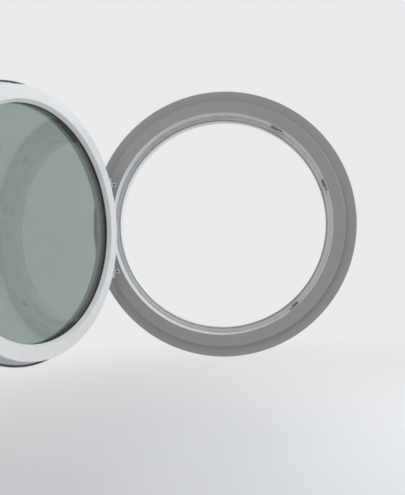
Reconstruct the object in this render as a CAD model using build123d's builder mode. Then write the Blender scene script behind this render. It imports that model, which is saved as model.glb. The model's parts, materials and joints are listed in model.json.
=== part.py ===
"""Round window: a welded ring frame with a wall wing, and a glazed ring sash on two side hinges.

The sash is modelled standing open. A handle turns a toothed quadrant inside the sash, which drives a
curved lock rod with three mushroom cams round the sash's edge.
"""
import os
from math import atan, atan2, ceil, cos, degrees, pi, radians, sin, sqrt, tan

from build123d import *

# The window's size is its rebate's radius, and all else keeps its real width from there, in mm
rebate_radius = 410.0

# Frame ring: widths across the ring, and heights from the wall plane towards the room
body_width = 47.0
body_edge = 3.0
wing_width = 43.0
wing_thickness = 7.0
wing_nose = 3.0
wing_fillet = 1.5
wall_step = 1.0
relief_width = 6.0
relief_depth = 2.0
relief_fillet = 1.5
face_height = 34.0
rim_edge = 1.5
rebate_depth = 46.0
lip_width = 19.0
lip_thickness = 26.0
lip_slope = 6.0

# Extension ring that lines the wall opening on the outdoor side
extension_depth = 34.0
extension_width = 30.0
extension_wall = 12.0
extension_flange = 8.0
extension_step = 1.5

# Sash ring
rebate_air = 12.0
flange_overlap = 6.0
flange_gap = 3.5
flange_thickness = 20.0
flange_edge = 4.0
lip_gap = 4.5
sash_edge = 2.0
stop_depth = 13.5
stop_bevel = 8.0
stop_land = 1.5
opening_angle = 104.3

# Glass unit
pane_thickness = 4.0
cavity = 16.0
edge_cover = 14.0
glass_clearance = 5.0
glazing_gasket = 3.0
gasket_width = 10.0
spacer_inset = 1.5
spacer_height = 6.0
seal_inset = 1.0
block_length = 60.0
block_gap = 0.1
block_angles = (20, 160, 200, 248, 292, 340)

# Glazing bead
bead_clearance = 0.2
bead_inset = 1.0
bead_shoulder = 4.0
bead_slope = 3.6
bead_crown = 9.0
snap_depth = 3.5
snap_width = 4.0
snap_height = 5.0

# Gaskets of the rebate
gasket_slot_width = 3.0
gasket_slot_depth = 5.0
lip_slot_inset = 4.0
flange_slot_inset = 5.0
gasket_lip = 1.4
gasket_rest_gap = 0.3
foot_gap = 0.05

# Hardware groove in the sash's edge
groove_offset = 13.0
groove_width = 12.0
groove_depth = 12.0
faceplate_width = 16.0
faceplate_thickness = 3.0
faceplate_gap = 0.1

# Lock drive
backset = 17.0
gear_module = 1.5
pinion_teeth = 13
handle_throw = 90.0
pressure_angle = 20.0
rack_addendum = 1.1
pinion_addendum = 1.35
root_clearance = 0.3
backlash = 0.15
pinion_width = 8.8
hub_radius = 7.0
bearing_clearance = 0.06
spindle_side = 7.0
spindle_clearance = 0.05
rod_clearance = 0.3
rod_thickness = 2.7
rod_width = 10.0
rod_end_angle = 3.0
plate_end_angle = 3.0

# Gearbox case, made as two halves, and its pocket in the sash
case_length = 90.0
case_width = 11.6
case_depth = 16.5
case_wall = 1.2
case_overhang = 2.0
pocket_clearance = 0.2
pocket_floor = 2.3

# Mushroom cams on the sash and keeps on the frame
keep_angles = {"upper": 57.0, "middle": 18.0, "lower": -50.0}
cam_lead_angle = 1.6
cam_stem_radius = 3.5
cam_head_radius = 5.5
cam_head_height = 4.0
cam_reach = 8.5
cam_chamfer = 0.8
cam_slot_gap = 0.5
keep_plate_thickness = 2.5
keep_plate_width = 19.0
keep_plate_angle = 6.0
keep_setback = 1.0
claw_thickness = 2.7
claw_height = 7.0
claw_start_angle = -0.65
claw_lead = 1.8
keep_screw_angle = 2.35

# Handle
rosette_width = 26.0
rosette_length = 68.0
rosette_height = 10.0
rosette_corner = 6.0
rosette_edge = 2.5
rosette_screw_spacing = 43.0
neck_radius = 8.5
neck_height = 38.0
neck_seat = 1.0
grip_length = 118.0
grip_width = 20.0
grip_thickness = 12.0
grip_bow = 3.0

# Hinges
hinge_offset = 26.0
hinge_height = 14.0
hinge_spread = 165.0
hinge_length = 48.0
sash_knuckle_length = 18.0
knuckle_gap = 0.3
barrel_radius = 8.0
hinge_pin_radius = 4.0
bush_wall = 1.5
press_clearance = 0.02
leaf_thickness = 4.0
leaf_inset = 7.0
leaf_strip_width = 10.5
leaf_corner = 2.0
tongue_reach = 35.0
tongue_width = 16.0
tongue_screw_inset = 8.0
pin_head_radius = 6.0
pin_head_height = 3.0
sash_leaf_margin = 4.0
leaf_screw_spacing = 18.0

# Countersunk screws: shank radius, head radius, length
small_screw = (2.0, 3.8, 24.0)
plate_screw = (2.2, 4.2, 16.0)
rosette_screw = (2.5, 4.8, 44.0)
countersink = 2.2
screw_clearance = 0.05
recess_share = 0.2

# Wall fixings through the rebate, and drain channels at the bottom
fixing_radius = 3.1
fixing_head_radius = 6.0
fixing_head_depth = 4.0
fixing_height = -5.0
fixing_angles = (90, 38, -22, -90, -142, 142)
drain_angles = (-96, -84)
drain_length = 28.0
drain_width = 5.0
drain_drop = 28.0

# How far a cutting shape starts outside the surface that it cuts
overcut = 1.0

# Heights and radii that follow from the sizes above
body_radius = rebate_radius + body_width
wall_radius = body_radius - wall_step
wing_radius = body_radius + wing_width
clear_radius = rebate_radius - lip_width
lip_front = face_height - rebate_depth
frame_back = lip_front - lip_thickness
extension_inner = clear_radius + lip_slope + extension_step
extension_outer = extension_inner + extension_width
extension_back = frame_back - extension_depth
sash_radius = rebate_radius - rebate_air
flange_radius = rebate_radius + flange_overlap
sash_out = lip_front + lip_gap
flange_back = face_height + flange_gap
room_face = flange_back + flange_thickness
lip_slot_radius = clear_radius + lip_slot_inset
flange_slot_radius = flange_radius - flange_slot_inset
groove_middle = flange_back - groove_offset
groove_low = groove_middle - groove_width / 2
groove_high = groove_middle + groove_width / 2
groove_floor = sash_radius - groove_depth
plate_inner = sash_radius - faceplate_thickness
plate_low = groove_middle - faceplate_width / 2
plate_high = groove_middle + faceplate_width / 2
rod_outer = plate_inner - rod_clearance
rod_inner = rod_outer - rod_thickness
case_outer = groove_floor + case_overhang
case_inner = case_outer - case_depth
glazing_radius = case_inner - pocket_clearance - pocket_floor
glass_radius = glazing_radius - glass_clearance
sight_radius = glass_radius - edge_cover
bead_radius = glazing_radius - bead_clearance
bead_sight = sight_radius + bead_inset
stop_back = sash_out + stop_depth
glass_out = stop_back + glazing_gasket
glass_in = glass_out + 2 * pane_thickness + cavity
bead_seat = glass_in + glazing_gasket
snap_low = bead_seat + snap_height
snap_high = snap_low + snap_width
spindle_radius = sash_radius - backset
cam_tip = sash_radius + cam_reach
cam_head_base = cam_tip - cam_head_height
keep_inner = rebate_radius - keep_plate_thickness
keep_high = face_height - keep_setback
hinge_x = -(sash_radius + hinge_offset)
hinge_level = face_height + hinge_height
sash_screw_radius = (glazing_radius + flange_radius) / 2

# Gear sizes: the rod's rack is a stretch of an internal ring gear about the sash's axis
pinion_radius = gear_module * pinion_teeth / 2
pinion_tip = pinion_radius + pinion_addendum
pinion_root = pinion_radius - rack_addendum - root_clearance
rack_radius = spindle_radius + pinion_radius
rack_tip = rack_radius - rack_addendum
rack_root = rack_radius + pinion_addendum + root_clearance
tooth_angle = 360 / pinion_teeth
rack_step = tooth_angle * pinion_radius / rack_radius
teeth_passed = ceil(handle_throw / tooth_angle)
rod_travel = handle_throw * pinion_radius / rack_radius
cam_angles = [angle - cam_lead_angle for angle in keep_angles.values()]
rod_start = min(cam_angles) - rod_end_angle
rod_end = max(cam_angles) + rod_end_angle
plate_start = rod_start - plate_end_angle
plate_end = rod_end + rod_travel + plate_end_angle


def swung(x, y):
    """Where a point of the closed sash lies once the sash has turned open about the hinge line."""
    turn = radians(opening_angle)
    along, across = x - hinge_x, y + hinge_level
    return Vector(
        hinge_x + along * cos(turn) + across * sin(turn),
        -hinge_level - along * sin(turn) + across * cos(turn),
        0,
    )


# Both rings are drawn alike, each on its own plane at the window's middle that faces the room
frame_home = Plane.XZ
sash_home = Plane(origin=swung(0, 0), x_dir=swung(1, 0) - swung(0, 0), z_dir=swung(0, -1) - swung(0, 0))
hinge_sides = {"upper": 1, "lower": -1}


def ring_axis(home):
    return Axis(home.origin, home.z_dir)


def section(home, angle=0.0):
    """Cross-section plane at an angle round the ring: X is the radius, Y the height towards the room."""
    outward = home.x_dir * cos(radians(angle)) + home.y_dir * sin(radians(angle))
    return Plane(origin=home.origin, x_dir=outward, z_dir=outward.cross(home.z_dir))


def edge_plane(home, angle, radius, height, facing=1):
    """Plane on the ring's edge that faces outwards, or with facing -1 towards the ring's axis."""
    cut = section(home, angle)
    return Plane(origin=cut.from_local_coords((radius, height, 0)), x_dir=home.z_dir, z_dir=cut.x_dir * facing)


def face_plane(home, height, x=0.0, z=0.0):
    """Plane parallel to the window, at a height towards the room and round a point of the ring."""
    return Plane(origin=home.from_local_coords((x, z, height)), x_dir=home.x_dir, z_dir=home.z_dir)


def hinge_plane(level, home=frame_home):
    """Plane across the hinge line at one level, turned with the frame or with the sash."""
    return Plane(origin=(hinge_x, -hinge_level, level), x_dir=home.x_dir, z_dir=(0, 0, -1))


def on_circle(radius, angle):
    return radius * cos(radians(angle)), radius * sin(radians(angle))


def x_on_left(radius, z):
    """The x of the point at height z on the left half of a circle."""
    return -sqrt(radius**2 - z**2)


def bend_bar(home, start, arc, radii, heights, mode=Mode.ADD):
    """Bar of rectangular section bent round the ring, joined to the part in hand or cut from it."""
    with BuildSketch(section(home, start)) as profile:
        with Locations((sum(radii) / 2, sum(heights) / 2)):
            Rectangle(radii[1] - radii[0], heights[1] - heights[0])
    revolve(profile.sketch, axis=ring_axis(home), revolution_arc=arc, mode=mode)


def bore(plane, radius, start, depth):
    """Round hole that starts above the plane and runs to a depth below it."""
    with BuildSketch(plane.offset(start)) as disc:
        Circle(radius)
    extrude(disc.sketch, amount=-(start + depth), mode=Mode.SUBTRACT)


def drive_screw(plane, size):
    """Countersunk screw with a crossed recess: its head is flush with the plane."""
    shank, head, length = size
    with BuildSketch(plane) as head_disc:
        Circle(head)
    extrude(head_disc.sketch, amount=-countersink, taper=degrees(atan2(head - shank, countersink)))
    with BuildSketch(plane.offset(-countersink)) as shank_disc:
        Circle(shank)
    extrude(shank_disc.sketch, amount=-(length - countersink))
    with BuildSketch(plane) as recess:
        Rectangle(head, head * recess_share)
        Rectangle(head * recess_share, head)
    extrude(recess.sketch, amount=-countersink / 2, mode=Mode.SUBTRACT)


def screw_hole(plane, size):
    """Hole for a countersunk screw, a little larger than the screw all round."""
    shank, head, length = size
    with BuildSketch(plane.offset(screw_clearance)) as head_disc:
        Circle(head + 2 * screw_clearance)
    slope = degrees(atan2(head - shank, countersink))
    extrude(head_disc.sketch, amount=-countersink, taper=slope, mode=Mode.SUBTRACT)
    bore(plane, shank + screw_clearance, 0, length + screw_clearance)


# Screw places, each a plane on which the screw's head lies
keep_screw_planes = [
    edge_plane(frame_home, angle + side * keep_screw_angle, keep_inner, keep_high - keep_plate_width / 2, -1)
    for angle in keep_angles.values()
    for side in (-1, 1)
]
ordered_keeps = sorted(keep_angles.values())
between_keeps = [(low + high) / 2 for low, high in zip(ordered_keeps, ordered_keeps[1:])]
end_screw_inset = degrees(small_screw[1] * 2 / sash_radius)
faceplate_screw_angles = [plate_start + end_screw_inset, *between_keeps, plate_end - end_screw_inset]
faceplate_screw_planes = [
    edge_plane(sash_home, angle, sash_radius, groove_middle) for angle in faceplate_screw_angles
]
rosette_screw_planes = [
    face_plane(sash_home, room_face + rosette_height, spindle_radius, side * rosette_screw_spacing / 2)
    for side in (-1, 1)
]
strip_left = hinge_x + leaf_inset
strip_middle = strip_left + leaf_strip_width / 2
tongue_end = hinge_x + tongue_reach
frame_leaf_screw_planes = [
    face_plane(frame_home, face_height + leaf_thickness, x, side * hinge_spread + rise)
    for side in hinge_sides.values()
    for x, rise in (
        (strip_middle, -leaf_screw_spacing),
        (tongue_end - tongue_screw_inset, 0),
        (strip_middle, leaf_screw_spacing),
    )
]
sash_leaf_screw_planes = [
    face_plane(sash_home, room_face + leaf_thickness, x_on_left(sash_screw_radius, level), level)
    for side in hinge_sides.values()
    for level in [side * hinge_spread + row * leaf_screw_spacing for row in (-1, 0, 1)]
]

# Frame ring: wall wing, body, rebate and sloping lip in one welded ring
with BuildPart() as frame_ring:
    with BuildSketch(section(frame_home)):
        with BuildLine():
            Line((wing_radius, 0), (wing_radius, wing_thickness - wing_nose))
            RadiusArc(
                (wing_radius, wing_thickness - wing_nose), (wing_radius - wing_nose, wing_thickness), -wing_nose
            )
            Line((wing_radius - wing_nose, wing_thickness), (body_radius + wing_fillet, wing_thickness))
            RadiusArc(
                (body_radius + wing_fillet, wing_thickness), (body_radius, wing_thickness + wing_fillet), wing_fillet
            )
            Line((body_radius, wing_thickness + wing_fillet), (body_radius, face_height - body_edge))
            RadiusArc((body_radius, face_height - body_edge), (body_radius - body_edge, face_height), -body_edge)
            Line((body_radius - body_edge, face_height), (rebate_radius + rim_edge, face_height))
            RadiusArc((rebate_radius + rim_edge, face_height), (rebate_radius, face_height - rim_edge), -rim_edge)
            Polyline(
                (rebate_radius, face_height - rim_edge),
                (rebate_radius, lip_front),
                (lip_slot_radius + gasket_slot_width / 2, lip_front),
                (lip_slot_radius + gasket_slot_width / 2, lip_front - gasket_slot_depth),
                (lip_slot_radius - gasket_slot_width / 2, lip_front - gasket_slot_depth),
                (lip_slot_radius - gasket_slot_width / 2, lip_front),
                (clear_radius, lip_front),
                (clear_radius + lip_slope, frame_back),
                (wall_radius, frame_back),
                (wall_radius, relief_depth - relief_fillet),
            )
            RadiusArc(
                (wall_radius, relief_depth - relief_fillet),
                (wall_radius + relief_fillet, relief_depth),
                relief_fillet,
            )
            Polyline(
                (wall_radius + relief_fillet, relief_depth),
                (wall_radius + relief_width, relief_depth),
                (wall_radius + relief_width, 0),
                (wing_radius, 0),
            )
        make_face()
    revolve(axis=ring_axis(frame_home))
    for angle in fixing_angles:
        fixing_plane = edge_plane(frame_home, angle, rebate_radius, fixing_height, -1)
        bore(fixing_plane, fixing_head_radius, overcut, fixing_head_depth)
        bore(fixing_plane, fixing_radius, overcut, body_width + overcut)
    for angle in drain_angles:
        drain_middle = lip_front + drain_width / 2
        with BuildSketch(edge_plane(frame_home, angle, rebate_radius - overcut, drain_middle)):
            Rectangle(drain_width, drain_length)
        extrude(amount=overcut + drain_drop, mode=Mode.SUBTRACT)
        with BuildSketch(edge_plane(frame_home, angle, rebate_radius + drain_drop - drain_width, drain_middle)):
            with Locations(((frame_back - overcut - drain_middle) / 2, 0)):
                Rectangle(drain_middle - frame_back + overcut, drain_length)
        extrude(amount=drain_width, mode=Mode.SUBTRACT)
    for plane in keep_screw_planes:
        screw_hole(plane, small_screw)
    for plane in frame_leaf_screw_planes:
        screw_hole(plane, plate_screw)

# Extension ring: a channel section with its web towards the opening
with BuildPart() as outer_extension:
    with BuildSketch(section(frame_home)) as channel:
        with Locations(((extension_inner + extension_outer) / 2, (frame_back + extension_back) / 2)):
            Rectangle(extension_width, extension_depth)
        with Locations((extension_outer, (frame_back + extension_back) / 2)):
            Rectangle(
                2 * (extension_width - extension_wall), extension_depth - 2 * extension_flange, mode=Mode.SUBTRACT
            )
    revolve(axis=ring_axis(frame_home))

# Rebate gaskets: a foot in the slot, and a leaning lip that meets the other ring when the sash is shut
foot_half = gasket_slot_width / 2 - foot_gap
lip_top = lip_front + lip_gap - gasket_rest_gap
lip_tip = face_height + gasket_rest_gap
with BuildPart() as frame_gasket:
    with BuildSketch(section(frame_home)):
        with BuildLine():
            Polyline(
                (lip_slot_radius - foot_half, lip_front - gasket_slot_depth + foot_gap),
                (lip_slot_radius + foot_half, lip_front - gasket_slot_depth + foot_gap),
                (lip_slot_radius + foot_half, lip_front),
                (lip_slot_radius + 2 * gasket_lip, lip_front),
                (lip_slot_radius + 1.5 * gasket_lip, lip_front + gasket_lip),
                (lip_slot_radius, lip_front + gasket_lip),
                (lip_slot_radius - gasket_lip, lip_top),
                (lip_slot_radius - 2 * gasket_lip, lip_top - gasket_lip / 4),
                (lip_slot_radius - 2 * gasket_lip, lip_front),
                (lip_slot_radius - foot_half, lip_front),
                close=True,
            )
        make_face()
    revolve(axis=ring_axis(frame_home))
with BuildPart() as sash_gasket:
    with BuildSketch(section(sash_home)):
        with BuildLine():
            Polyline(
                (flange_slot_radius - foot_half, flange_back + gasket_slot_depth - foot_gap),
                (flange_slot_radius + foot_half, flange_back + gasket_slot_depth - foot_gap),
                (flange_slot_radius + foot_half, flange_back),
                (flange_slot_radius + 2 * gasket_lip, flange_back),
                (flange_slot_radius + 2 * gasket_lip, lip_tip + gasket_lip / 4),
                (flange_slot_radius + gasket_lip, lip_tip),
                (flange_slot_radius, flange_back - gasket_lip),
                (flange_slot_radius - 1.5 * gasket_lip, flange_back - gasket_lip / 2),
                (flange_slot_radius - 1.5 * gasket_lip, flange_back),
                (flange_slot_radius - foot_half, flange_back),
                close=True,
            )
        make_face()
    revolve(axis=ring_axis(sash_home))


def make_keep(angle):
    """Strike plate in the rebate: a curved base, and a claw that a mushroom cam slides behind."""
    start = angle + claw_start_angle
    arc = keep_plate_angle / 2 - claw_start_angle
    claw_inner = keep_inner - claw_height
    with BuildPart() as keep:
        bend_bar(frame_home, angle - keep_plate_angle / 2, keep_plate_angle, (keep_inner, rebate_radius),
                 (keep_high - keep_plate_width, keep_high))
        bend_bar(frame_home, start, arc, (claw_inner, keep_inner), (keep_high - claw_thickness, keep_high))
        with BuildSketch(section(frame_home, start)):
            with BuildLine():
                Polyline(
                    (claw_inner, keep_high - claw_lead),
                    (claw_inner, keep_high),
                    (claw_inner + claw_lead, keep_high),
                    close=True,
                )
            make_face()
        revolve(axis=ring_axis(frame_home), revolution_arc=arc, mode=Mode.SUBTRACT)
        for plane in keep_screw_planes:
            screw_hole(plane, small_screw)
    return keep


def make_frame_leaf(side):
    """Fixed hinge leaf: a strip under the barrel with a tongue beside the sash, and two knuckles."""
    middle = side * hinge_spread
    knuckle = (hinge_length - sash_knuckle_length) / 2 - knuckle_gap
    with BuildPart() as leaf:
        with BuildSketch(face_plane(frame_home, face_height)):
            with Locations((strip_middle, middle)):
                RectangleRounded(leaf_strip_width, hinge_length, leaf_corner)
            with Locations(((strip_left + tongue_end) / 2, middle)):
                RectangleRounded(tongue_end - strip_left, tongue_width, leaf_corner * 2)
        extrude(amount=leaf_thickness)
        for end in (-1, 1):
            with BuildSketch(hinge_plane(middle + end * (hinge_length - knuckle) / 2)):
                Circle(barrel_radius)
                with BuildLine():
                    Polyline(
                        (-barrel_radius * sin(pi / 4), -barrel_radius * cos(pi / 4)),
                        (leaf_inset, -hinge_height),
                        (leaf_inset + barrel_radius, -hinge_height),
                        (leaf_inset + barrel_radius, leaf_thickness - hinge_height),
                        (barrel_radius * sin(pi / 4), barrel_radius * cos(pi / 4)),
                        close=True,
                    )
                make_face()
            extrude(amount=knuckle / 2, both=True)
        with BuildSketch(hinge_plane(middle)):
            Circle(hinge_pin_radius + press_clearance)
        extrude(amount=hinge_length, both=True, mode=Mode.SUBTRACT)
        for plane in frame_leaf_screw_planes:
            screw_hole(plane, plate_screw)
    return leaf


def make_sash_leaf(side):
    """Moving hinge leaf: a knuckle, an arm over the flange and a curved plate on the sash's face."""
    middle = side * hinge_spread
    seat = room_face - hinge_level
    arm_end = x_on_left(sash_screw_radius, middle) - hinge_x
    with BuildPart() as leaf:
        with BuildSketch(hinge_plane(middle, sash_home)):
            Circle(barrel_radius)
            with BuildLine():
                Polyline(
                    (-barrel_radius * cos(pi / 6), barrel_radius * sin(pi / 6)),
                    (-barrel_radius / 4, seat + leaf_thickness),
                    (arm_end, seat + leaf_thickness),
                    (arm_end, seat),
                    (barrel_radius * 1.5, seat),
                    (barrel_radius, 0),
                    close=True,
                )
            make_face()
        extrude(amount=sash_knuckle_length / 2, both=True)
        with BuildSketch(face_plane(sash_home, room_face)):
            with Locations((-sash_screw_radius, middle)):
                Rectangle(sash_screw_radius, hinge_length)
            Circle(flange_radius - flange_edge - overcut, mode=Mode.INTERSECT)
            Circle(glazing_radius + sash_leaf_margin, mode=Mode.SUBTRACT)
        extrude(amount=leaf_thickness)
        with BuildSketch(hinge_plane(middle)):
            Circle(hinge_pin_radius + bearing_clearance + bush_wall + press_clearance)
        extrude(amount=hinge_length, both=True, mode=Mode.SUBTRACT)
        for plane in sash_leaf_screw_planes:
            screw_hole(plane, plate_screw)
    return leaf


# Hinge pins with heads at both ends, and the plain bushes that run on them
with BuildPart() as hinge_pins:
    for side in hinge_sides.values():
        with BuildSketch(hinge_plane(side * hinge_spread)):
            Circle(hinge_pin_radius)
        extrude(amount=hinge_length / 2, both=True)
        for end in (-1, 1):
            with BuildSketch(hinge_plane(side * hinge_spread + end * (hinge_length + pin_head_height) / 2)):
                Circle(pin_head_radius)
            extrude(amount=pin_head_height / 2, both=True)
with BuildPart() as hinge_bushes:
    for side in hinge_sides.values():
        with BuildSketch(hinge_plane(side * hinge_spread)):
            Circle(hinge_pin_radius + bearing_clearance + bush_wall)
            Circle(hinge_pin_radius + bearing_clearance, mode=Mode.SUBTRACT)
        extrude(amount=sash_knuckle_length / 2, both=True)

# Sash ring: flange, hardware groove, glazing stop with its bevel, and the bead's groove
with BuildPart() as sash_ring:
    with BuildSketch(section(sash_home)):
        with BuildLine():
            Polyline(
                (sash_radius, sash_out + sash_edge),
                (sash_radius, plate_low),
                (plate_inner, plate_low),
                (plate_inner, groove_low),
                (groove_floor, groove_low),
                (groove_floor, groove_high),
                (plate_inner, groove_high),
                (plate_inner, plate_high),
                (sash_radius, plate_high),
                (sash_radius, flange_back),
                (flange_slot_radius - gasket_slot_width / 2, flange_back),
                (flange_slot_radius - gasket_slot_width / 2, flange_back + gasket_slot_depth),
                (flange_slot_radius + gasket_slot_width / 2, flange_back + gasket_slot_depth),
                (flange_slot_radius + gasket_slot_width / 2, flange_back),
                (flange_radius, flange_back),
                (flange_radius, room_face - flange_edge),
            )
            RadiusArc(
                (flange_radius, room_face - flange_edge), (flange_radius - flange_edge, room_face), -flange_edge
            )
            Polyline(
                (flange_radius - flange_edge, room_face),
                (glazing_radius, room_face),
                (glazing_radius, snap_high),
                (glazing_radius + snap_depth, snap_high),
                (glazing_radius + snap_depth, snap_low),
                (glazing_radius, snap_low),
                (glazing_radius, stop_back),
                (sight_radius, stop_back),
                (sight_radius, stop_back - stop_land),
                (sight_radius + stop_bevel, sash_out + stop_land),
                (sight_radius + stop_bevel + stop_land, sash_out),
                (sash_radius - sash_edge, sash_out),
            )
            RadiusArc((sash_radius - sash_edge, sash_out), (sash_radius, sash_out + sash_edge), -sash_edge)
        make_face()
    revolve(axis=ring_axis(sash_home))
    pocket_radii = (case_inner - pocket_clearance, plate_inner)
    with BuildSketch(face_plane(sash_home, groove_low, sum(pocket_radii) / 2)):
        Rectangle(pocket_radii[1] - pocket_radii[0], case_length + 2 * pocket_clearance)
    extrude(amount=groove_width, mode=Mode.SUBTRACT)
    bore(face_plane(sash_home, room_face, spindle_radius), spindle_side, overcut, room_face - groove_middle)
    for plane in rosette_screw_planes:
        bore(plane, rosette_screw[0] + screw_clearance, 0, rosette_height + room_face - groove_middle)
    for plane in faceplate_screw_planes:
        screw_hole(plane, small_screw)
    for plane in sash_leaf_screw_planes:
        screw_hole(plane, plate_screw)

# Glazing bead on the room side, with a snap foot and a hollowed front
with BuildPart() as glazing_bead:
    with BuildSketch(section(sash_home)):
        with BuildLine():
            Polyline(
                (bead_sight, bead_seat),
                (bead_radius, bead_seat),
                (bead_radius, snap_low + bead_clearance),
                (bead_radius + snap_depth, snap_low + bead_clearance),
                (bead_radius + snap_depth, (snap_low + snap_high) / 2),
                (bead_radius, snap_high - bead_clearance),
                (bead_radius, room_face),
                (bead_sight + bead_crown, room_face),
            )
            RadiusArc(
                (bead_sight + bead_crown, room_face),
                (bead_sight + bead_slope, room_face - bead_crown + bead_slope),
                -bead_crown + bead_slope,
            )
            Polyline(
                (bead_sight + bead_slope, room_face - bead_crown + bead_slope),
                (bead_sight, bead_seat + bead_shoulder),
                (bead_sight, bead_seat),
            )
        make_face()
    revolve(axis=ring_axis(sash_home))

# Insulating glass: two panes, a spacer between them, and the seal that joins their edges
with BuildPart() as outer_pane:
    with BuildSketch(face_plane(sash_home, glass_out)):
        Circle(glass_radius)
    extrude(amount=pane_thickness)
with BuildPart() as inner_pane:
    with BuildSketch(face_plane(sash_home, glass_in - pane_thickness)):
        Circle(glass_radius)
    extrude(amount=pane_thickness)
cavity_heights = (glass_out + pane_thickness, glass_in - pane_thickness)
spacer_radii = (sight_radius + spacer_inset, sight_radius + spacer_inset + spacer_height)
with BuildPart() as spacer_bar:
    bend_bar(sash_home, 0, 360, spacer_radii, cavity_heights)
with BuildPart() as edge_seal:
    bend_bar(sash_home, 0, 360, (spacer_radii[1], glass_radius - seal_inset), cavity_heights)

# Glazing gaskets on both faces of the glass, each with a short lip over the sight line
with BuildPart() as outer_glazing_gasket:
    with BuildSketch(section(sash_home)):
        with BuildLine():
            Polyline(
                (sight_radius + gasket_width, stop_back),
                (sight_radius, stop_back),
                (sight_radius - gasket_rest_gap, glass_out),
                (sight_radius + gasket_width, glass_out),
                close=True,
            )
        make_face()
    revolve(axis=ring_axis(sash_home))
with BuildPart() as inner_glazing_gasket:
    with BuildSketch(section(sash_home)):
        with BuildLine():
            Polyline(
                (bead_sight + gasket_width, glass_in),
                (bead_sight - gasket_rest_gap, glass_in),
                (bead_sight, bead_seat),
                (bead_sight + gasket_width, bead_seat),
                close=True,
            )
        make_face()
    revolve(axis=ring_axis(sash_home))

# Setting blocks that carry and centre the glass in the sash
block_arc = degrees(block_length / glass_radius)
with BuildPart() as setting_blocks:
    for angle in block_angles:
        bend_bar(sash_home, angle - block_arc / 2, block_arc,
                 (glass_radius + block_gap, glazing_radius - block_gap), (stop_back + overcut, bead_seat - overcut))

# Faceplate over the hardware groove, with a slot for each cam
slot_half = cam_stem_radius + cam_slot_gap
slot_half_angle = degrees(slot_half / sash_radius)
with BuildPart() as lock_faceplate:
    bend_bar(sash_home, plate_start, plate_end - plate_start, (plate_inner, sash_radius),
             (plate_low + faceplate_gap, plate_high - faceplate_gap))
    for angle in cam_angles:
        bend_bar(sash_home, angle - slot_half_angle, rod_travel + 2 * slot_half_angle,
                 (plate_inner - overcut, sash_radius + overcut),
                 (groove_middle - slot_half, groove_middle + slot_half), mode=Mode.SUBTRACT)
    for plane in faceplate_screw_planes:
        screw_hole(plane, small_screw)

# One gap of the rack, drawn beside the pinion: wide at its mouth, with straight flanks
flank = tan(radians(pressure_angle))
gap_half = pi * gear_module / 4 + backlash / 2
gap_mouth = gap_half + flank * (rack_addendum + overcut)
gap_bottom = gap_half - flank * (pinion_addendum + root_clearance)
with BuildSketch() as rack_gap:
    with BuildLine():
        Polyline(
            (rack_tip - overcut, gap_mouth),
            (rack_root, gap_bottom),
            (rack_root, -gap_bottom),
            (rack_tip - overcut, -gap_mouth),
            close=True,
        )
    make_face()

# Lock rod: a curved flat bar with the rack on its inner edge, screw slots and holes for the cams
rack_first = -teeth_passed - 2
rack_count = teeth_passed + 5
rack_half_width = pinion_width / 2 - pocket_clearance
screw_slot_half = small_screw[0] + rod_clearance
screw_slot_angle = degrees(screw_slot_half / rod_outer)
with BuildPart() as lock_rod:
    bend_bar(sash_home, rod_start, rod_end - rod_start, (rod_inner, rod_outer),
             (groove_middle - rod_width / 2, groove_middle + rod_width / 2))
    bend_bar(sash_home, (rack_first - 0.5) * rack_step, rack_count * rack_step,
             (rack_tip, (rod_inner + rod_outer) / 2),
             (groove_middle - rack_half_width, groove_middle + rack_half_width))
    with BuildSketch(face_plane(sash_home, groove_middle)):
        with PolarLocations(0, rack_count, rack_first * rack_step, rack_count * rack_step):
            add(rack_gap.sketch)
    extrude(amount=rod_width, both=True, mode=Mode.SUBTRACT)
    for angle in between_keeps:
        bend_bar(sash_home, angle - rod_travel - screw_slot_angle, rod_travel + 2 * screw_slot_angle,
                 (rod_inner - overcut, rod_outer + overcut),
                 (groove_middle - screw_slot_half, groove_middle + screw_slot_half), mode=Mode.SUBTRACT)
    for angle in cam_angles:
        bore(edge_plane(sash_home, angle, rod_outer, groove_middle), cam_stem_radius + press_clearance,
             overcut, rod_thickness + overcut)

# Mushroom cams riveted into the rod
with BuildPart() as lock_cams:
    for angle in cam_angles:
        with BuildSketch(edge_plane(sash_home, angle, rod_inner, groove_middle)):
            Circle(cam_stem_radius)
        extrude(amount=cam_head_base - rod_inner)
        with BuildSketch(edge_plane(sash_home, angle, cam_head_base, groove_middle)):
            Circle(cam_head_radius)
        extrude(amount=cam_head_height)
    rims = lock_cams.edges().filter_by(GeomType.CIRCLE).filter_by(lambda edge: edge.radius > cam_stem_radius)
    chamfer(rims, cam_chamfer)


def involute(base, roll, turn):
    """Point of a circle's involute, for an unrolled angle on the base circle, turned about its centre."""
    reach = base * sqrt(1 + roll**2)
    angle = roll - atan(roll) + turn
    return reach * cos(angle), reach * sin(angle)


# One tooth of the quadrant, pointing along X: involute flanks from the base circle to the tip
base_radius = pinion_radius * cos(radians(pressure_angle))
pitch_roll = sqrt((pinion_radius / base_radius) ** 2 - 1)
tip_roll = sqrt((pinion_tip / base_radius) ** 2 - 1)
half_tooth = pi / (2 * pinion_teeth) - backlash / (2 * pinion_radius)
flank_turn = atan(pitch_roll) - pitch_roll - half_tooth
low_flank = [involute(base_radius, tip_roll * step / 4, flank_turn) for step in range(5)]
high_flank = [(x, -y) for x, y in reversed(low_flank)]
with BuildSketch() as pinion_tooth:
    with BuildLine():
        Spline(*low_flank)
        ThreePointArc(low_flank[-1], (pinion_tip, 0), high_flank[0])
        Spline(*high_flank)
        Polyline(high_flank[-1], (hub_radius / 2, 0), low_flank[0])
    make_face()

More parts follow.
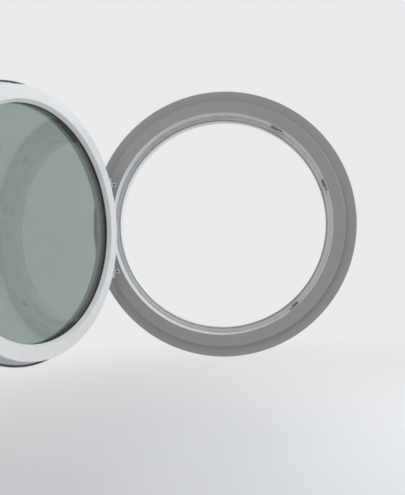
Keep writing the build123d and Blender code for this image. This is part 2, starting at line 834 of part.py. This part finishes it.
# Toothed quadrant: teeth on one side only, because the glazing rebate lies close behind it
teeth_count = teeth_passed + 2
quadrant_start = -teeth_passed * tooth_angle
quadrant_ends = (quadrant_start - tooth_angle / 3, quadrant_start + (teeth_count - 2 / 3) * tooth_angle)
gear_plane = face_plane(sash_home, groove_middle, spindle_radius)
square_hole = spindle_side + 2 * spindle_clearance
with BuildPart() as drive_quadrant:
    with BuildSketch(gear_plane):
        with PolarLocations(0, teeth_count, quadrant_start, teeth_count * tooth_angle):
            add(pinion_tooth.sketch)
        with BuildLine():
            ThreePointArc(
                on_circle(pinion_root, quadrant_ends[0]),
                on_circle(pinion_root, sum(quadrant_ends) / 2),
                on_circle(pinion_root, quadrant_ends[1]),
            )
            Polyline(on_circle(pinion_root, quadrant_ends[1]), (0, 0), on_circle(pinion_root, quadrant_ends[0]))
        make_face()
        Circle(hub_radius)
    extrude(amount=pinion_width / 2, both=True)
    with BuildSketch(gear_plane):
        Circle(hub_radius)
    extrude(amount=case_width / 2, both=True)
    with BuildSketch(gear_plane):
        Rectangle(square_hole, square_hole)
    extrude(amount=case_width, both=True, mode=Mode.SUBTRACT)


def make_case_half(towards_room):
    """Half of the gearbox case: a flat block, hollow round the quadrant and open towards the rod."""
    with BuildPart() as half:
        with BuildSketch(face_plane(sash_home, groove_middle, (case_inner + case_outer) / 2)):
            Rectangle(case_depth, case_length)
        extrude(amount=towards_room * case_width / 2)
        with BuildSketch(gear_plane):
            Circle(pinion_tip + rod_clearance)
            with Locations((case_inner + case_wall + case_depth / 2 - spindle_radius, 0)):
                Rectangle(case_depth, 3 * pinion_tip, mode=Mode.INTERSECT)
        extrude(amount=towards_room * (pinion_width / 2 + pocket_clearance), mode=Mode.SUBTRACT)
        bore(gear_plane, hub_radius + bearing_clearance, case_width, case_width)
        for plane in rosette_screw_planes:
            bore(plane, rosette_screw[0] + screw_clearance, 0, rosette_screw[2] + case_width)
    return half


# Handle rosette, with a round bearing for the lever's neck
rosette_plane = face_plane(sash_home, room_face, spindle_radius)
spindle_axis = Axis(rosette_plane.origin, sash_home.z_dir)
with BuildPart() as handle_rosette:
    with BuildSketch(rosette_plane):
        RectangleRounded(rosette_width, rosette_length, rosette_corner)
    extrude(amount=rosette_height)
    fillet(handle_rosette.faces().sort_by(spindle_axis)[-1].edges(), rosette_edge)
    bore(rosette_plane, neck_radius + bearing_clearance, rosette_height, overcut)
    for plane in rosette_screw_planes:
        screw_hole(plane, rosette_screw)

# Handle lever: a round neck and a lofted grip of oval sections that bows away from the glass
grip_level = rosette_height + neck_height
grip_sections = (
    (0.00, 0.85, 1.00, 0.0),
    (0.30, 0.90, 1.00, 0.7),
    (0.70, 1.00, 0.95, 1.0),
    (0.95, 0.90, 0.75, 0.6),
    (1.00, 0.65, 0.50, 0.5),
)
spindle_top = room_face + grip_level - grip_thickness
with BuildPart() as handle_lever:
    with BuildSketch(rosette_plane.offset(neck_seat)):
        Circle(neck_radius)
    extrude(amount=grip_level + grip_thickness / 2 - neck_seat)
    fillet(handle_lever.faces().sort_by(spindle_axis)[-1].edges(), grip_thickness / 4)
    for share, width, thickness, bow in grip_sections:
        spot = rosette_plane.from_local_coords((-share * grip_length, 0, grip_level + bow * grip_bow))
        with BuildSketch(Plane(origin=spot, x_dir=sash_home.y_dir, z_dir=sash_home.x_dir * -1)):
            Ellipse(width * grip_width / 2, thickness * grip_thickness / 2)
    loft()
    with BuildSketch(rosette_plane.offset(neck_seat)):
        Rectangle(square_hole, square_hole)
    extrude(amount=spindle_top + spindle_clearance - room_face - neck_seat, mode=Mode.SUBTRACT)
with BuildPart() as handle_spindle:
    with BuildSketch(gear_plane.offset(-case_width / 2)):
        Rectangle(spindle_side, spindle_side)
    extrude(amount=spindle_top - groove_middle + case_width / 2)


def make_screws(planes, size):
    """Like screws as one group of separate solids."""
    with BuildPart() as group:
        for plane in planes:
            drive_screw(plane, size)
    return group


pieces = {
    "frame_ring": frame_ring,
    "outer_extension": outer_extension,
    "frame_gasket": frame_gasket,
    "hinge_pins": hinge_pins,
    "keep_screws": make_screws(keep_screw_planes, small_screw),
    "hinge_frame_screws": make_screws(frame_leaf_screw_planes, plate_screw),
    "sash_ring": sash_ring,
    "glazing_bead": glazing_bead,
    "outer_pane": outer_pane,
    "inner_pane": inner_pane,
    "spacer_bar": spacer_bar,
    "edge_seal": edge_seal,
    "outer_glazing_gasket": outer_glazing_gasket,
    "inner_glazing_gasket": inner_glazing_gasket,
    "sash_gasket": sash_gasket,
    "setting_blocks": setting_blocks,
    "lock_faceplate": lock_faceplate,
    "faceplate_screws": make_screws(faceplate_screw_planes, small_screw),
    "gearbox_case": make_case_half(-1),
    "gearbox_cover": make_case_half(1),
    "hinge_bushes": hinge_bushes,
    "hinge_sash_screws": make_screws(sash_leaf_screw_planes, plate_screw),
    "handle_rosette": handle_rosette,
    "rosette_screws": make_screws(rosette_screw_planes, rosette_screw),
    "lock_rod": lock_rod,
    "lock_cams": lock_cams,
    "drive_quadrant": drive_quadrant,
    "handle_spindle": handle_spindle,
    "handle_lever": handle_lever,
}
for name, angle in keep_angles.items():
    pieces[f"keep_{name}"] = make_keep(angle)
for name, side in hinge_sides.items():
    pieces[f"hinge_frame_leaf_{name}"] = make_frame_leaf(side)
    pieces[f"hinge_sash_leaf_{name}"] = make_sash_leaf(side)

os.makedirs("parts", exist_ok=True)
for name, piece in pieces.items():
    piece.part.label = name
    export_step(piece.part, f"parts/{name}.step")
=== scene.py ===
"""Finishes, camera and light for the round window, whose glazed ring sash stands open."""

import json
from math import cos, radians, sin

import bpy
from mathutils import Matrix, Vector


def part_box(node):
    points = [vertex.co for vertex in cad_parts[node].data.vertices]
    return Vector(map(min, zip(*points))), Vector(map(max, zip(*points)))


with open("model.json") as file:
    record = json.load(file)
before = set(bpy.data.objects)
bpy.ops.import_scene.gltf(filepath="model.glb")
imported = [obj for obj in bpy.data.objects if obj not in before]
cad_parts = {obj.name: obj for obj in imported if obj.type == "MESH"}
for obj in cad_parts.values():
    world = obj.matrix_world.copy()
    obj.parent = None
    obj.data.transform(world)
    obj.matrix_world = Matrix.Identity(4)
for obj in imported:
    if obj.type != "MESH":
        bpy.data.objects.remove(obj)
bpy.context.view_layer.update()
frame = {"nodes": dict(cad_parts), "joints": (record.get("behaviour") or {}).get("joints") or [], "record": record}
nodes = frame["nodes"]

# Where the photograph was taken from: metres, degrees, and pixels of its 405 by 495 frame
CAMERA_PLACE = Vector((0.160678, -1.856009, -0.086317))
CAMERA_YAW = -7.1961
CAMERA_PITCH = -0.0786
CAMERA_ROLL = -2.0158
FOCAL_PIXELS = 491.821
CENTRE_PIXEL = (201.891, 248.505)
PHOTO_SIZE = (405, 495)
SENSOR_SIDE = 36.0
CLIP_START = 0.01

# Weld seams of the two rings, as angles round each ring seen from the room, and their width in metres
FRAME_SEAMS = (46.0, -134.0)
SASH_SEAMS = (44.0, -136.0)
SEAM_WIDTH = 0.0012

# The frame's front is painted outside the rim of its rebate, as radii and widths in metres: the edge of
# the paint with its blur there and at the back, and the step where the wing begins with the width of the painted
# shade along it
PAINT_EDGE = 0.4122
PAINT_BLUR = 0.0004
PAINT_RISE = 0.001
WING_STEP = 0.4572
STEP_SHADE_WIDTH = 0.0035

# Perforation of the spacer bar between the panes: steps along and across it, and the holes' radius
SPACER_HOLE_STEP = 0.0035
SPACER_ROW_STEP = 0.004
SPACER_HOLE_RADIUS = 0.0006

# Dried rain drops on the panes: how many to a metre, and a ring's radius and width as shares of their spacing
DROP_SCALE = 62.0
DROP_RADIUS = 0.17
DROP_RIM = 0.07

# Ribs round the whole ring, which the glazing blocks carry a part of
BLOCK_RIBS = 180

# Colours. Where there are two, the surface drifts from one to the other.
WINDOW_WHITE = ((0.775, 0.785, 0.80, 1), (0.80, 0.80, 0.795, 1))
SMEARED_WHITE = (0.66, 0.65, 0.62, 1)
WHITE_DUST = (0.50, 0.48, 0.43, 1)
SEAM_SHADE = (0.42, 0.41, 0.39, 1)
GREY_PAINT = ((0.385, 0.387, 0.40, 1), (0.43, 0.427, 0.42, 1))
SMEARED_PAINT = (0.34, 0.33, 0.31, 1)
# Painted shade along the wing's step, and the darker tone of the weld seams on the grey coat
SEAM_AND_STEP_SHADE = (0.16, 0.157, 0.15, 1)
PANE_BODY = (0.565, 0.62, 0.60, 1)
PANE_DIRT = (0.55, 0.55, 0.52, 1)
SPACER_BLACK = ((0.038, 0.038, 0.040, 1), (0.060, 0.060, 0.062, 1))
# Painted shade inside the spacer's holes
SPACER_HOLE_SHADE = (0.006, 0.006, 0.006, 1)
SEALANT = ((0.045, 0.045, 0.048, 1), (0.075, 0.075, 0.078, 1))
BLOCK_BLUE = ((0.10, 0.15, 0.26, 1), (0.13, 0.19, 0.31, 1))
ZINC = ((0.12, 0.123, 0.132, 1), (0.19, 0.177, 0.15, 1))
RUBBED_ZINC = (0.42, 0.42, 0.41, 1)
COATED_WHITE = ((0.76, 0.77, 0.785, 1), (0.79, 0.79, 0.79, 1))
HANDLED_WHITE = (0.52, 0.52, 0.50, 1)
PIN_STEEL = ((0.52, 0.52, 0.51, 1), (0.66, 0.66, 0.65, 1))
BUSH_CREAM = ((0.56, 0.54, 0.47, 1), (0.63, 0.61, 0.54, 1))

# Rubber of the sash's gaskets, and the pale grey rubber of the frame's own: clean, bloomed and dusty
BLACK_RUBBER = ((0.060, 0.062, 0.064, 1), (0.135, 0.137, 0.133, 1), (0.20, 0.19, 0.17, 1))
GREY_RUBBER = ((0.47, 0.475, 0.485, 1), (0.54, 0.54, 0.535, 1), (0.36, 0.35, 0.32, 1))

# Paper-white studio in metres: the floor lies well below the window and fades out between two radii
FLOOR_LEVEL = -1.05
FLOOR_SIZE = 14.0
FLOOR_FADE = (0.3, 3.6)
FLOOR_COLOUR = (0.76, 0.76, 0.765, 1.0)
BACKGROUND = (0.82, 0.825, 0.83, 1.0)
AMBIENT = (0.94, 0.965, 1.0, 1.0)
AMBIENT_STRENGTH = 0.40

# Square lamps: metres, watts, and whether glossy surfaces mirror them
LAMP_TARGET = (-0.2, -0.3, 0.0)
LAMPS = {
    "side_light": {
        "place": (2.9, 0.5, 1.4), "target": LAMP_TARGET, "side": 2.2, "power": 86,
        "colour": (0.96, 0.98, 1.0), "mirrored": False,
    },
    "outdoor_light": {
        "place": (0.7, 2.2, 1.5), "target": (0.0, 0.0, 0.0), "side": 2.2, "power": 24,
        "colour": (0.95, 0.975, 1.0), "mirrored": True,
    },
    "room_light": {
        "place": (-1.1, -3.2, 1.9), "target": LAMP_TARGET, "side": 2.4, "power": 23,
        "colour": (1.0, 0.985, 0.96), "mirrored": True,
    },
}

# The sash stands open at rest, turned about its hinge line from the shut place round the window's axis
swing = next(joint for joint in frame["joints"] if joint["name"] == "sash_swing")
hinge_line = Vector(swing["pos_m"])
open_angle = -radians(swing["range_deg"][0])
sash_home = (
    Matrix.Translation(hinge_line) @ Matrix.Rotation(-open_angle, 4, "Z") @ Matrix.Translation(-hinge_line)
)
frame_home = Matrix.Identity(4)


class Number:
    """A number that changes over a surface. Sums and products written on it become Math nodes."""

    def __init__(self, finish, socket):
        self.finish = finish
        self.socket = socket

    def math(self, operation, *others):
        return self.finish.math(operation, self, *others)

    def __add__(self, other):
        return self.math("ADD", other)

    def __sub__(self, other):
        return self.math("SUBTRACT", other)

    def __rsub__(self, other):
        return self.finish.math("SUBTRACT", other, self)

    def __mul__(self, other):
        return self.math("MULTIPLY", other)

    def __pow__(self, other):
        return self.math("POWER", other)

    def __abs__(self):
        return self.math("ABSOLUTE")

    __radd__ = __add__
    __rmul__ = __mul__


class Finish:
    """The nodes of one material or of the world, which end in a node of the kind ending."""

    def __init__(self, tree, ending="ShaderNodeOutputMaterial"):
        self.tree = tree
        self.ending = ending
        tree.nodes.clear()

    def node(self, kind, settings=None, inputs=None):
        """Adds a node: its settings first, then the value or the link of each socket that is given."""
        made = self.tree.nodes.new(kind)
        for name, value in (settings or {}).items():
            setattr(made, name, value)
        for key, value in (inputs or {}).items():
            if isinstance(value, Number):
                value = value.socket
            if isinstance(value, bpy.types.NodeSocket):
                self.tree.links.new(value, made.inputs[key])
            else:
                made.inputs[key].default_value = value
        return made

    def number(self, kind, settings=None, inputs=None, output=0):
        return Number(self, self.node(kind, settings, inputs).outputs[output])

    def math(self, operation, *values):
        return self.number("ShaderNodeMath", {"operation": operation}, dict(enumerate(values)))

    def blend(self, share, first, second):
        """The first colour where share is 0, and the second where it is 1."""
        mixer = self.node("ShaderNodeMix", {"data_type": "RGBA"}, {0: share, 6: first, 7: second})
        return mixer.outputs[2]

    def ramp(self, value, low, high, start=0.0, end=1.0):
        """Smooth step of a value: start below low, end above high."""
        sockets = {"Value": value, "From Min": low, "From Max": high, "To Min": start, "To Max": end}
        return self.number("ShaderNodeMapRange", {"interpolation_type": "SMOOTHSTEP"}, sockets)

    def line(self, distance, width):
        """1 where the distance is 0, falling smoothly to 0 where it is the width."""
        return self.ramp(distance, 0.0, width, 1.0, 0.0)

    def noise(self, vector, scale, detail=2.0, roughness=0.5):
        """Noise of so many cells to a unit of the vector, which is a metre on the surface itself."""
        sockets = {"Vector": vector, "Scale": scale, "Detail": detail, "Roughness": roughness}
        return self.number("ShaderNodeTexNoise", None, sockets)

    def cells(self, vector, scale):
        """Distance to the nearest of scattered points, so many to a metre, as a share of their spacing."""
        return self.number("ShaderNodeTexVoronoi", {"feature": "F1"}, {"Vector": vector, "Scale": scale})

    def vector(self, x, y, z):
        return self.node("ShaderNodeCombineXYZ", None, {"X": x, "Y": y, "Z": z}).outputs[0]

    def place(self, home=frame_home):
        """The point on the surface in metres, turned back to where it is when the window is shut."""
        point = self.node("ShaderNodeTexCoord").outputs["Object"]
        turned = {"Vector": point, "Location": home.to_translation(), "Rotation": home.to_euler()}
        return self.node("ShaderNodeMapping", {"vector_type": "TEXTURE"}, turned).outputs[0]

    def axes(self, vector):
        split = self.node("ShaderNodeSeparateXYZ", None, {0: vector})
        return [Number(self, output) for output in split.outputs]

    def round_ring(self, point):
        """Angle round the ring's axis, radius from it, and height towards the room, from X, Y and Z."""
        x, y, z = self.axes(point)
        return z.math("ARCTAN2", x), (x * x + z * z) ** 0.5, 0.0 - y

    def facing_up(self):
        """1 where the surface faces up, 0 where it is upright, and -1 where it faces down."""
        normal = self.node("ShaderNodeNewGeometry").outputs["Normal"]
        return self.axes(normal)[2]

    def close(self, colour, roughness, relief=None, depth=0.0002, **constants):
        """The Principled shader, with relief as a height from 0 to 1 of the given depth in metres."""
        sockets = {"Base Color": colour, "Roughness": roughness, **constants}
        if relief is not None:
            bump = self.node("ShaderNodeBump", None, {"Height": relief, "Distance": depth})
            sockets["Normal"] = bump.outputs[0]
        self.end_with(self.node("ShaderNodeBsdfPrincipled", None, sockets))

    def end_with(self, shader):
        self.node(self.ending, None, {"Surface": shader.outputs[0]})

    def end_mixed(self, share, first, second):
        """Ends in the first shader where share is 0, and in the second where it is 1."""
        sockets = {0: share, 1: first.outputs[0], 2: second.outputs[0]}
        self.end_with(self.node("ShaderNodeMixShader", None, sockets))


def new_material(name):
    """An empty material and the Finish of its nodes."""
    material = bpy.data.materials.new(name)
    material.use_nodes = True
    return material, Finish(material.node_tree)


def ring_plastic(name, home, seams, painted):
    """Gloss white window plastic: drawn lines along the ring, weld seams, and dust where it faces up.

    The frame's front, when painted, has a satin grey coat with a roller's grain, and a line of painted shade along
    its step.
    """
    material, finish = new_material(name)
    point = finish.place(home)
    angle, radius, height = finish.round_ring(point)
    drawn = finish.noise(finish.vector(radius * 700, height * 700, angle * 5), 1.0, 3.0)
    grain = finish.noise(point, 900, 1.0)
    cloud = finish.noise(point, 5, 3.0, 0.6)
    smears = finish.ramp(finish.noise(point, 26, 5.0, 0.65), 0.52, 0.78)
    seam = sum(finish.line(abs(angle - radians(spot)) * radius, SEAM_WIDTH) for spot in seams)
    specks = finish.ramp(finish.noise(point, 240, 2.0, 0.7), 0.62, 0.74)
    dust = finish.ramp(finish.facing_up(), 0.35, 0.95) * (0.35 + 0.65 * finish.ramp(cloud, 0.3, 0.7))
    colour = finish.blend(cloud, *WINDOW_WHITE)
    colour = finish.blend(smears * 0.30, colour, SMEARED_WHITE)
    colour = finish.blend(dust * (0.18 + 0.45 * specks), colour, WHITE_DUST)
    colour = finish.blend(seam * 0.35, colour, SEAM_SHADE)
    roughness = 0.26 + 0.10 * drawn + 0.16 * smears + 0.30 * dust
    relief = 0.30 * drawn + 0.12 * grain - 0.55 * seam
    if painted:
        outside_rim = finish.ramp(radius, PAINT_EDGE - PAINT_BLUR, PAINT_EDGE + PAINT_BLUR)
        paint = outside_rim * finish.ramp(height, 0.0, PAINT_RISE)
        # Painted shade: a dark line in the crease of the step where the wing begins
        step_shade = finish.line(abs(radius - WING_STEP), STEP_SHADE_WIDTH) * (0.4 + 0.6 * cloud)
        coat = finish.blend(cloud, *GREY_PAINT)
        coat = finish.blend(smears * 0.25 + dust * 0.30, coat, SMEARED_PAINT)
        coat = finish.blend(seam * 0.25 + step_shade * 0.65, coat, SEAM_AND_STEP_SHADE)
        roller = finish.noise(point, 650, 3.0, 0.55)
        colour = finish.blend(paint, colour, coat)
        roughness = roughness + paint * (0.50 + 0.12 * roller - roughness)
        relief = relief + paint * (0.55 * roller - 0.45 * seam - relief)
    coating = {"Coat Weight": 0.12, "Coat Roughness": 0.12}
    finish.close(colour, roughness, relief, depth=0.00025, **coating)
    return material


def gasket_rubber(name, home, tones=BLACK_RUBBER):
    """Extruded rubber: its own tone, that of its matt bloom, and that of the dust in its grain."""
    clean, bloomed, dusty = tones
    material, finish = new_material(name)
    point = finish.place(home)
    angle, radius, height = finish.round_ring(point)
    drawn = finish.noise(finish.vector(radius * 1500, height * 1500, angle * 8), 1.0, 2.0)
    bloom = finish.ramp(finish.noise(point, 60, 4.0, 0.6), 0.42, 0.72)
    specks = finish.ramp(finish.noise(point, 420, 2.0, 0.6), 0.60, 0.72)
    colour = finish.blend(bloom, clean, bloomed)
    colour = finish.blend(specks * 0.35, colour, dusty)
    finish.close(colour, 0.52 + 0.22 * bloom, 0.6 * drawn + 0.2 * specks, depth=0.00012)
    return material


def pane_glass(name, home):
    """Float glass with a green-grey body, thin water marks, dried rings of rain drops and a few specks."""
    material, finish = new_material(name)
    point = finish.place(home)
    marks = finish.ramp(finish.noise(point, 34, 6.0, 0.7), 0.55, 0.80)
    specks = finish.ramp(finish.noise(point, 330, 1.0, 0.5), 0.70, 0.76)
    wetted = finish.ramp(finish.noise(point, 6, 2.0), 0.44, 0.60)
    drop = finish.cells(point, DROP_SCALE)
    rim = finish.line(abs(drop - DROP_RADIUS), DROP_RIM)
    film = 0.012 + 0.05 * marks + 0.16 * specks + 0.32 * rim * wetted
    clear = {"Base Color": PANE_BODY, "Roughness": 0.0, "IOR": 1.5, "Transmission Weight": 1.0}
    body = finish.node("ShaderNodeBsdfPrincipled", None, clear)
    dirt = finish.node("ShaderNodeBsdfPrincipled", None, {"Base Color": PANE_DIRT, "Roughness": 0.8})
    finish.end_mixed(film, body, dirt)
    return material


def spacer_black(name, home):
    """Black warm edge bar with a row of small holes on the side that faces the middle of the glass."""
    material, finish = new_material(name)
    point = finish.place(home)
    angle, radius, height = finish.round_ring(point)
    low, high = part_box("spacer_bar")
    bar_radius = (high.z - low.z) / 2
    rolled = finish.noise(finish.vector(radius * 900, height * 1400, angle * 20), 1.0, 3.0)
    along = angle * (bar_radius / SPACER_HOLE_STEP)
    off_hole = abs(along.math("FRACT") - 0.5) * SPACER_HOLE_STEP
    across = abs(height.math("PINGPONG", SPACER_ROW_STEP) - SPACER_ROW_STEP / 2)
    distance = (off_hole * off_hole + across * across) ** 0.5
    # Each hole is pressed in by the relief and painted near black as the shade inside it
    shaded_hole = finish.ramp(distance, SPACER_HOLE_RADIUS * 0.8, SPACER_HOLE_RADIUS, 1.0, 0.0)
    colour = finish.blend(rolled, *SPACER_BLACK)
    colour = finish.blend(shaded_hole, colour, SPACER_HOLE_SHADE)
    finish.close(colour, 0.48 + 0.2 * rolled, 0.4 * rolled - shaded_hole, depth=0.0002)
    return material


def edge_sealant(name, home):
    """Dark sealant pressed in by a nozzle, with low ripples along the edge."""
    material, finish = new_material(name)
    point = finish.place(home)
    angle, _, height = finish.round_ring(point)
    ripple = finish.noise(finish.vector(angle * 90, height * 120, 0.0), 1.0, 3.0)
    colour = finish.blend(ripple, *SEALANT)
    finish.close(colour, 0.45 + 0.25 * ripple, ripple, depth=0.0006)
    return material


def block_plastic(name, home):
    """Moulded glazing blocks with ribs across them."""
    material, finish = new_material(name)
    point = finish.place(home)
    angle, _, _ = finish.round_ring(point)
    ribs = abs((angle * BLOCK_RIBS).math("SINE"))
    grain = finish.noise(point, 500, 2.0)
    colour = finish.blend(grain, *BLOCK_BLUE)
    finish.close(colour, 0.45 + 0.2 * grain, 0.7 * ribs + 0.2 * grain, depth=0.0004)
    return material


def zinc_plate(name, home):
    """Zinc plated steel: a fine spangle, a faint blue and yellow bloom, and rubbed spots."""
    material, finish = new_material(name)
    point = finish.place(home)
    spangle = finish.cells(point, 900)
    bloom = finish.noise(point, 90, 4.0, 0.6)
    rubbed = finish.ramp(finish.noise(point, 160, 5.0, 0.7), 0.56, 0.70)
    colour = finish.blend(bloom, *ZINC)
    colour = finish.blend(rubbed * 0.6, colour, RUBBED_ZINC)
    roughness = 0.44 - 0.16 * rubbed + 0.10 * spangle
    finish.close(colour, roughness, 0.5 * spangle + 0.3 * bloom, depth=0.00006, Metallic=1.0)
    return material


def white_coat(name, home):
    """White powder coat on metal: orange peel, a few handling marks and dust in the grain."""
    material, finish = new_material(name)
    point = finish.place(home)
    peel = finish.noise(point, 420, 2.0, 0.45)
    marks = finish.ramp(finish.noise(point, 70, 6.0, 0.7), 0.58, 0.75)
    cloud = finish.noise(point, 14, 2.0)
    colour = finish.blend(cloud, *COATED_WHITE)
    colour = finish.blend(marks * 0.35, colour, HANDLED_WHITE)
    coating = {"Coat Weight": 0.2, "Coat Roughness": 0.1}
    finish.close(colour, 0.30 + 0.12 * peel + 0.2 * marks, peel, depth=0.00012, **coating)
    return material


def turned_steel(name, home):
    """Bright turned pins with fine tool rings along their length."""
    material, finish = new_material(name)
    point = finish.place(home)
    x, y, z = finish.axes(point)
    rings = finish.noise(finish.vector(x * 40, y * 40, z * 2600), 1.0, 2.0)
    colour = finish.blend(rings, *PIN_STEEL)
    finish.close(colour, 0.24 + 0.16 * rings, rings, depth=0.00006, Metallic=1.0)
    return material


def bush_plastic(name, home):
    """Cream bearing plastic with a waxy sheen."""
    material, finish = new_material(name)
    grain = finish.noise(finish.place(home), 600, 2.0)
    colour = finish.blend(grain, *BUSH_CREAM)
    finish.close(colour, 0.38 + 0.12 * grain, grain, depth=0.00008)
    return material


FINISHES = {
    "gasket_black": gasket_rubber,
    "pane_glass": pane_glass,
    "spacer_black": spacer_black,
    "edge_sealant": edge_sealant,
    "block_plastic": block_plastic,
    "zinc_steel": zinc_plate,
    "hinge_white": white_coat,
    "handle_white": white_coat,
    "pin_steel": turned_steel,
    "bush_plastic": bush_plastic,
}


def finish_of(slot, group):
    """The material of a slot, on the frame or on the sash and all that it carries."""
    name = f"{slot}_{group}"
    home = frame_home if group == "frame" else sash_home
    if slot == "frame_white":
        seams = FRAME_SEAMS if group == "frame" else SASH_SEAMS
        return ring_plastic(name, home, seams, painted=group == "frame")
    if slot == "gasket_black" and group == "frame":
        return gasket_rubber("gasket_grey_frame", home, GREY_RUBBER)
    return FINISHES[slot](name, home)


def dress(record):
    """Gives each CAD node the finish of its material slot on the ring that carries it."""
    fixed = record["behaviour"]["bodies"]["frame"]
    made = {}
    for part in record["subparts"]:
        key = (part["material_slot"], "frame" if part["node"] in fixed else "sash")
        if key not in made:
            made[key] = finish_of(*key)
        for holder in nodes[part["node"]].material_slots:
            holder.material = made[key]


def aim_camera():
    """A camera with the photograph's place, turn, focal length and centre."""
    yaw, pitch, roll = radians(CAMERA_YAW), radians(CAMERA_PITCH), radians(CAMERA_ROLL)
    level_right = Vector((cos(yaw), -sin(yaw), 0))
    level_ahead = Vector((sin(yaw), cos(yaw), 0))
    ahead = level_ahead * cos(pitch) + Vector((0, 0, 1)) * sin(pitch)
    above = Vector((0, 0, 1)) * cos(pitch) - level_ahead * sin(pitch)
    right = level_right * cos(roll) + above * sin(roll)
    up = above * cos(roll) - level_right * sin(roll)
    long_side = max(PHOTO_SIZE)
    lens = bpy.data.cameras.new("photo_camera")
    lens.sensor_width = SENSOR_SIDE
    lens.lens = FOCAL_PIXELS * SENSOR_SIDE / long_side
    lens.shift_x = (PHOTO_SIZE[0] / 2 - CENTRE_PIXEL[0]) / long_side
    lens.shift_y = (CENTRE_PIXEL[1] - PHOTO_SIZE[1] / 2) / long_side
    lens.clip_start = CLIP_START
    camera = bpy.data.objects.new("photo_camera", lens)
    turn = Matrix((right, up, -ahead)).transposed().to_4x4()
    camera.matrix_world = Matrix.Translation(CAMERA_PLACE) @ turn
    bpy.context.scene.collection.objects.link(camera)
    bpy.context.scene.camera = camera


def soft_box(name, place, target, side, power, colour, mirrored):
    """A square lamp turned to a target, not seen through the glass nor, unless mirrored, in it."""
    lamp = bpy.data.lights.new(name, "AREA")
    lamp.size = side
    lamp.energy = power
    lamp.color = colour
    holder = bpy.data.objects.new(name, lamp)
    holder.visible_transmission = False
    holder.visible_glossy = mirrored
    holder.location = place
    holder.rotation_euler = (Vector(target) - Vector(place)).to_track_quat("-Z", "Y").to_euler()
    bpy.context.scene.collection.objects.link(holder)


def lay_floor():
    """A pale floor that fades into the background far out, and that isn't seen from below."""
    half = FLOOR_SIZE / 2
    mesh = bpy.data.meshes.new("studio_floor")
    corners = [(-half, -half), (half, -half), (half, half), (-half, half)]
    mesh.from_pydata([(x, y, FLOOR_LEVEL) for x, y in corners], [], [(0, 1, 2, 3)])
    floor = bpy.data.objects.new("studio_floor", mesh)
    bpy.context.scene.collection.objects.link(floor)
    material, finish = new_material("studio_floor")
    point = finish.place()
    x, y, _ = finish.axes(point)
    fade = finish.ramp((x * x + y * y) ** 0.5, *FLOOR_FADE)
    below = finish.number("ShaderNodeNewGeometry", output="Backfacing")
    paper = finish.node("ShaderNodeBsdfDiffuse", None, {"Color": FLOOR_COLOUR})
    clear = finish.node("ShaderNodeBsdfTransparent")
    finish.end_mixed(fade.math("MAXIMUM", below), paper, clear)
    mesh.materials.append(material)


def light_studio():
    """Even daylight, a backdrop that only the camera, the glass and glossy surfaces see, and the lamps."""
    world = bpy.data.worlds.new("studio")
    world.use_nodes = True
    bpy.context.scene.world = world
    finish = Finish(world.node_tree, ending="ShaderNodeOutputWorld")
    path = finish.node("ShaderNodeLightPath")
    rays = ("Is Camera Ray", "Is Glossy Ray", "Is Transmission Ray")
    seen = sum(Number(finish, path.outputs[ray]) for ray in rays).math("MINIMUM", 1.0)
    ambient = finish.node("ShaderNodeBackground", None, {"Color": AMBIENT, "Strength": AMBIENT_STRENGTH})
    backdrop = finish.node("ShaderNodeBackground", None, {"Color": BACKGROUND, "Strength": 1.0})
    finish.end_mixed(seen, ambient, backdrop)
    for name, lamp in LAMPS.items():
        soft_box(name, **lamp)


bpy.context.scene.view_settings.view_transform = "Standard"
aim_camera()
dress(frame["record"])
lay_floor()
light_studio()
